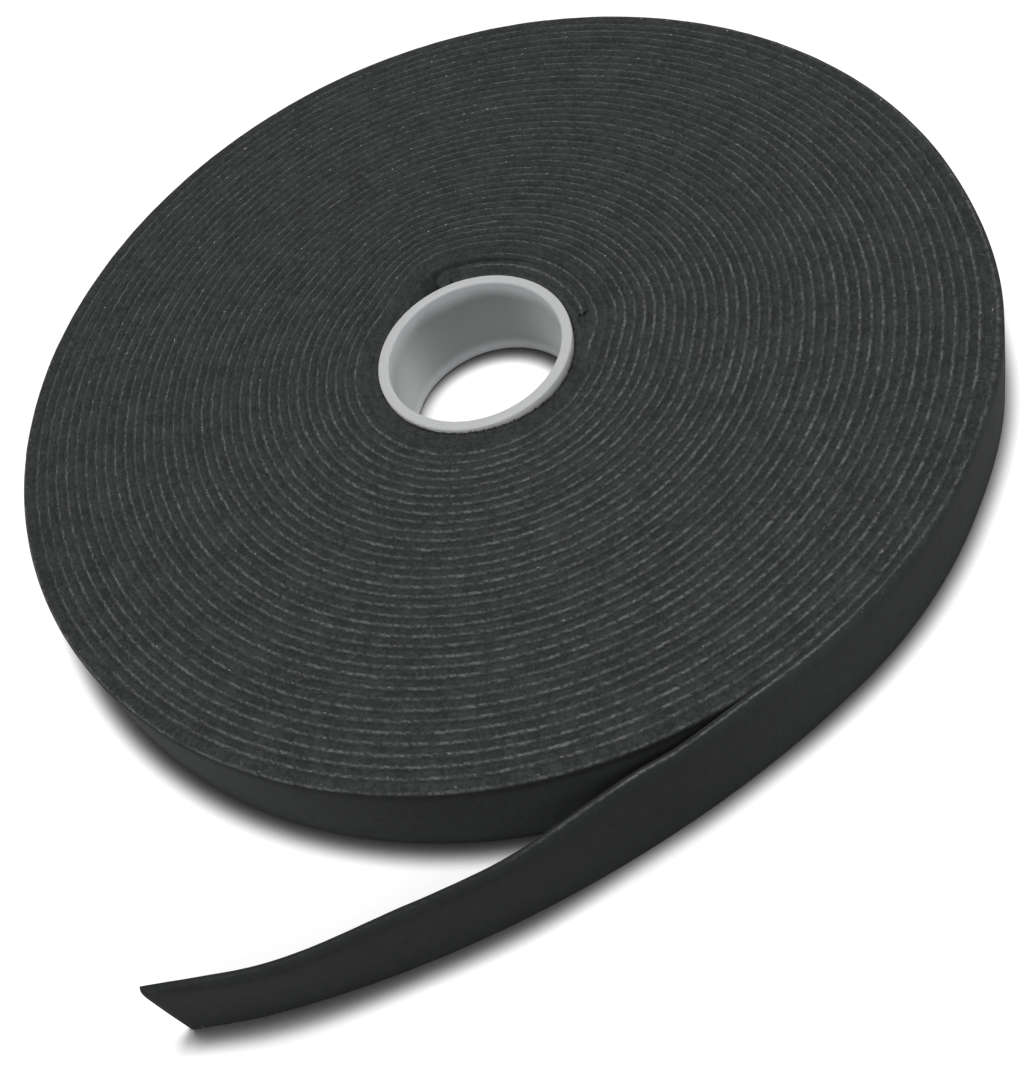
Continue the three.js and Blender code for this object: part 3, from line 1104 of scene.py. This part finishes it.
def core_material():
    material, tree, shader = new_material("core_plastic")
    place = add_node(tree, "ShaderNodeTexCoord").outputs["Object"]
    height = add_node(tree, "ShaderNodeSeparateXYZ", {0: place}).outputs["Z"]
    # Painted glow, standing in for light through the plastic: below the rim, reaching down unevenly,
    # and at the foot
    cloud = math_node(tree, "SUBTRACT", noise(tree, place, PAINTED_GLOW_CLOUD_SIZE, 2), 0.5)
    level = math_node(tree, "ADD", height, math_node(tree, "MULTIPLY", cloud, PAINTED_GLOW_UNEVENNESS))
    painted_glow_foot = CORE_TOP - RIM_PAINTED_GLOW_DEPTH
    rim_painted_glow = map_range(tree, level, painted_glow_foot - PAINTED_GLOW_FADE_BELOW, painted_glow_foot + PAINTED_GLOW_FADE_ABOVE)
    foot_painted_light = map_range(tree, height, *FOOT_PAINTED_GLOW_RANGE, 1, 0)
    glow = math_node(tree, "MAXIMUM", rim_painted_glow, foot_painted_light)
    # Painted shade on the fold's side, and a brighter painted glow on the outside than in the bore
    painted_shade_side = behind_fold(tree, place)
    wall_with_painted_shade = mix_colours(tree, painted_shade_side, CORE_COLOUR, CORE_PAINTED_SHADE)
    bore = mix_colours(tree, painted_shade_side, CORE_BORE_PAINTED_GLOW, CORE_SHADED_PAINTED_GLOW)
    wall_painted_glow = mix_colours(tree, outside_core(tree, place), bore, CORE_PAINTED_GLOW)
    wall = mix_colours(tree, glow, wall_with_painted_shade, wall_painted_glow)
    # The top of the rim takes its own colour, without the painted glow of the walls
    on_top = map_range(tree, facing_up(tree), *CORE_RIM_RANGE)
    tree.links.new(mix_colours(tree, on_top, wall, CORE_RIM), shader.inputs["Base Color"])
    grain = noise(tree, place, GRAIN_SIZE, 2)
    tree.links.new(bump(tree, grain, GRAIN_STRENGTH, GRAIN_DEPTH), shader.inputs["Normal"])
    shader.inputs["Roughness"].default_value = CORE_ROUGHNESS
    shader.inputs["Specular IOR Level"].default_value = CORE_SPECULAR
    shader.inputs["Subsurface Weight"].default_value = CORE_SUBSURFACE
    shader.inputs["Subsurface Radius"].default_value = (1.0, 1.0, 1.0)
    shader.inputs["Subsurface Scale"].default_value = CORE_SCATTER
    return material


# The core's outline, from its foot up the outside and down the bore, round its four rounded edges
def core_profile():
    inner = CORE_RADIUS - CORE_WALL
    outer = CORE_RADIUS + CORE_SWELL
    edge = CORE_EDGE_RADIUS
    corners = [
        (outer - edge, edge, -math.pi / 2),
        (outer - edge, CORE_TOP - edge, 0),
        (inner + edge, CORE_TOP - edge, math.pi / 2),
        (inner + edge, edge, math.pi),
    ]
    turned = np.linspace(0, math.pi / 2, CORE_EDGE_STEPS)
    arcs = [np.array([r, z]) + polar(edge, start + turned) for r, z, start in corners]
    climb = np.linspace(0, 1, CORE_WALL_ROWS)[1:-1, None]
    outer_wall = arcs[0][-1] + climb * (arcs[1][0] - arcs[0][-1])
    inner_wall = arcs[2][-1] + climb * (arcs[3][0] - arcs[2][-1])
    return np.concatenate([arcs[0], outer_wall, arcs[1], arcs[2], inner_wall, arcs[3]])


def core_piece(material):
    profile = core_profile()
    count = len(profile)
    angle = np.linspace(0, 2 * math.pi, CORE_SEGMENTS, endpoint=False)
    spots = CORE_CENTRE + polar(profile[None, :, 0], angle[:, None])
    height = np.broadcast_to(profile[None, :, 1], spots.shape[:2])
    points = np.concatenate([spots, height[..., None]], axis=-1)
    ring, side = np.meshgrid(np.arange(CORE_SEGMENTS), np.arange(count), indexing="ij")
    here = ring * count
    after = (ring + 1) % CORE_SEGMENTS * count
    beside = (side + 1) % count
    quads = np.stack([here + side, after + side, after + beside, here + beside], axis=-1).reshape(-1, 4)
    data = bpy.data.meshes.new("core_tube")
    data.from_pydata(points.reshape(-1, 3).tolist(), [], quads.tolist())
    data.shade_smooth()
    return new_object("core_tube", data, material)


# A soft round lamp high above the roll, and a weak one on the camera's side
OVERHEAD_AZIMUTH = math.radians(42)
OVERHEAD_ELEVATION = math.radians(83.5)
OVERHEAD_DIAMETER = 0.30
OVERHEAD_LEVEL = 0.72
FILL_AZIMUTH = math.radians(-100)
FILL_ELEVATION = math.radians(48)
FILL_DIAMETER = 0.5
FILL_LEVEL = 0.15
LAMP_DISTANCE = 1.3


def lamp_direction(azimuth, elevation):
    flat = math.cos(elevation)
    return Vector((flat * math.cos(azimuth), flat * math.sin(azimuth), math.sin(elevation)))


# Floor: white to the eye, with a shadow around the roll, and fading into the white backdrop further off
FLOOR_SIZE = 6
FADE_START = 0.3
FADE_END = 0.8
FLOOR_DROP = 0.1 * MM
FLOOR_COLOUR = (0.92, 0.92, 0.92, 1)
FLOOR_LIFT = 0.18
CONTACT_REACH = 5 * MM
CONTACT_SHADE = 0.06
CONTACT_RANGE = (0.3, 1)
CONTACT_AZIMUTH = math.radians(55)
CONTACT_ELEVATION = math.radians(58)
WORLD_LEVEL = 0.28


# 1 for rays from the eye, straight or by way of gloss or glass, and 0 for light between surfaces
def seen_rays(tree):
    path = add_node(tree, "ShaderNodeLightPath").outputs
    seen = math_node(tree, "MAXIMUM", path["Is Camera Ray"], path["Is Glossy Ray"])
    return math_node(tree, "MAXIMUM", seen, path["Is Transmission Ray"])


def floor_material():
    material, tree, shader = new_material("floor")
    tree.nodes.remove(shader)
    towards = lamp_direction(CONTACT_AZIMUTH, CONTACT_ELEVATION)
    inputs = {"X": towards.x, "Y": towards.y, "Z": towards.z}
    facing = add_node(tree, "ShaderNodeCombineXYZ", inputs).outputs[0]
    inputs = {"Distance": CONTACT_REACH, "Normal": facing}
    clear = add_node(tree, "ShaderNodeAmbientOcclusion", inputs).outputs["AO"]
    shade = map_range(tree, clear, *CONTACT_RANGE, CONTACT_SHADE, 1)
    colour = mix_colours(tree, shade, (0, 0, 0, 1), FLOOR_COLOUR)
    paint = add_node(tree, "ShaderNodeBsdfDiffuse", {"Color": colour}).outputs[0]
    place = add_node(tree, "ShaderNodeTexCoord").outputs["Object"]
    distance = add_node(tree, "ShaderNodeVectorMath", {0: place}, operation="LENGTH").outputs["Value"]
    level = map_range(tree, distance, FADE_START, FADE_END, FLOOR_LIFT, 1)
    lift = math_node(tree, "MULTIPLY", math_node(tree, "MULTIPLY", seen_rays(tree), level), shade)
    glow = add_node(tree, "ShaderNodeEmission", {"Strength": lift}).outputs[0]
    both = add_node(tree, "ShaderNodeAddShader", {0: paint, 1: glow}).outputs[0]
    tree.links.new(both, tree.nodes["Material Output"].inputs["Surface"])
    return material


def floor_piece():
    half = FLOOR_SIZE / 2
    corners = [(-half, -half), (half, -half), (half, half), (-half, half)]
    data = bpy.data.meshes.new("floor")
    data.from_pydata([(x, y, -FLOOR_DROP) for x, y in corners], [], [(0, 1, 2, 3)])
    made = new_object("floor", data, floor_material())


def world():
    made = bpy.data.worlds.new("studio")
    made.use_nodes = True
    tree = made.node_tree
    background = tree.nodes["Background"]
    level = map_range(tree, seen_rays(tree), 0, 1, WORLD_LEVEL, 1)
    tree.links.new(level, background.inputs["Strength"])
    background.inputs["Color"].default_value = (1, 1, 1, 1)
    bpy.context.scene.world = made


def lamp(name, azimuth, elevation, diameter, level):
    data = bpy.data.lights.new(name, "AREA")
    data.shape = "DISK"
    data.size = diameter
    data.energy = level * math.pi ** 2 * LAMP_DISTANCE ** 2
    made = bpy.data.objects.new(name, data)
    towards = lamp_direction(azimuth, elevation)
    made.location = towards * LAMP_DISTANCE
    made.rotation_mode = "QUATERNION"
    made.rotation_quaternion = towards.to_track_quat("Z", "Y")
    bpy.context.scene.collection.objects.link(made)


# Camera, from the foot of the core's axis
IMAGE_HEIGHT = 1072
SENSOR_SIZE = 36
FOCAL_PIXELS = 1614
CAMERA_PLACE = Vector((-6.91, -217.51, 244.53)) * MM
CAMERA_TARGET = Vector((-6.81, -37.81, 10.0)) * MM
CAMERA_ROLL = math.radians(-23.74)


def camera():
    data = bpy.data.cameras.new("camera")
    data.sensor_width = SENSOR_SIZE
    data.lens = FOCAL_PIXELS * SENSOR_SIZE / IMAGE_HEIGHT
    data.clip_start = 0.01
    made = bpy.data.objects.new("camera", data)
    foot = Vector((CORE_CENTRE[0], CORE_CENTRE[1], 0))
    look = (CAMERA_TARGET - CAMERA_PLACE).to_track_quat("-Z", "Y").to_matrix().to_4x4()
    place = Matrix.Translation(foot + CAMERA_PLACE)
    made.matrix_world = place @ look @ Matrix.Rotation(CAMERA_ROLL, 4, "Z")
    bpy.context.scene.collection.objects.link(made)
    bpy.context.scene.camera = made


# Puts the pieces together
def add_to_roll(piece, slot, *nodes):
    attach(piece, "roll")
    if nodes:
        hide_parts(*nodes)


# Applies a free end piece's transform and hides the parts it replaces
def add_to_tail(piece, slot, *nodes):
    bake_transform(piece)
    if nodes:
        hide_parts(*nodes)


camera()
lamp("overhead", OVERHEAD_AZIMUTH, OVERHEAD_ELEVATION, OVERHEAD_DIAMETER, OVERHEAD_LEVEL)
lamp("fill", FILL_AZIMUTH, FILL_ELEVATION, FILL_DIAMETER, FILL_LEVEL)
world()
floor_piece()

add_to_roll(core_piece(core_material()), "core_plastic", "core")

fabric = tape_material()
inner = join_stretches(start_stretch(), wound_stretch(0, INNER_TURNS, INNER_STEP))
middle = wound_stretch(INNER_TURNS, MIDDLE_TURNS, OUTER_STEP)
outer = wound_stretch(MIDDLE_TURNS, WOUND_TURNS - RIM_TURNS, OUTER_STEP)
rim = wound_stretch(WOUND_TURNS - RIM_TURNS, WOUND_TURNS, RIM_STEP)
add_to_roll(tape_piece("tape_inner_winding", inner, [], fabric), "tape_fabric", "tape_inner_turns")
add_to_roll(tape_piece("tape_middle_winding", middle, [], fabric), "tape_fabric", "tape_outer_turns")
add_to_roll(tape_piece("tape_outer_winding", outer, [], fabric), "tape_fabric", "tape_outer_turns")
add_to_roll(tape_piece("tape_rim_turn", rim, WALL_ROWS, fabric), "tape_fabric", "tape_outer_turns")
add_to_tail(tape_piece("tape_free_end", tail_stretch(), WALL_ROWS, fabric), "tape_fabric", "tape_tail")

lint = lint_material()
face_fibres = [specks_on_face(), hairs_on_face(), hairs_at_core()]
add_to_roll(fibre_piece("face_fibres", face_fibres, lint), "tape_fabric")
add_to_roll(fibre_piece("lip_fuzz", [fuzz_on_lip()], lint), "tape_fabric")
tail_fibres = [fuzz_on_tail(), lint_on_tail()]
add_to_tail(fibre_piece("free_end_fibres", tail_fibres, lint), "tape_fabric")

bpy.context.scene.view_settings.view_transform = "Standard"
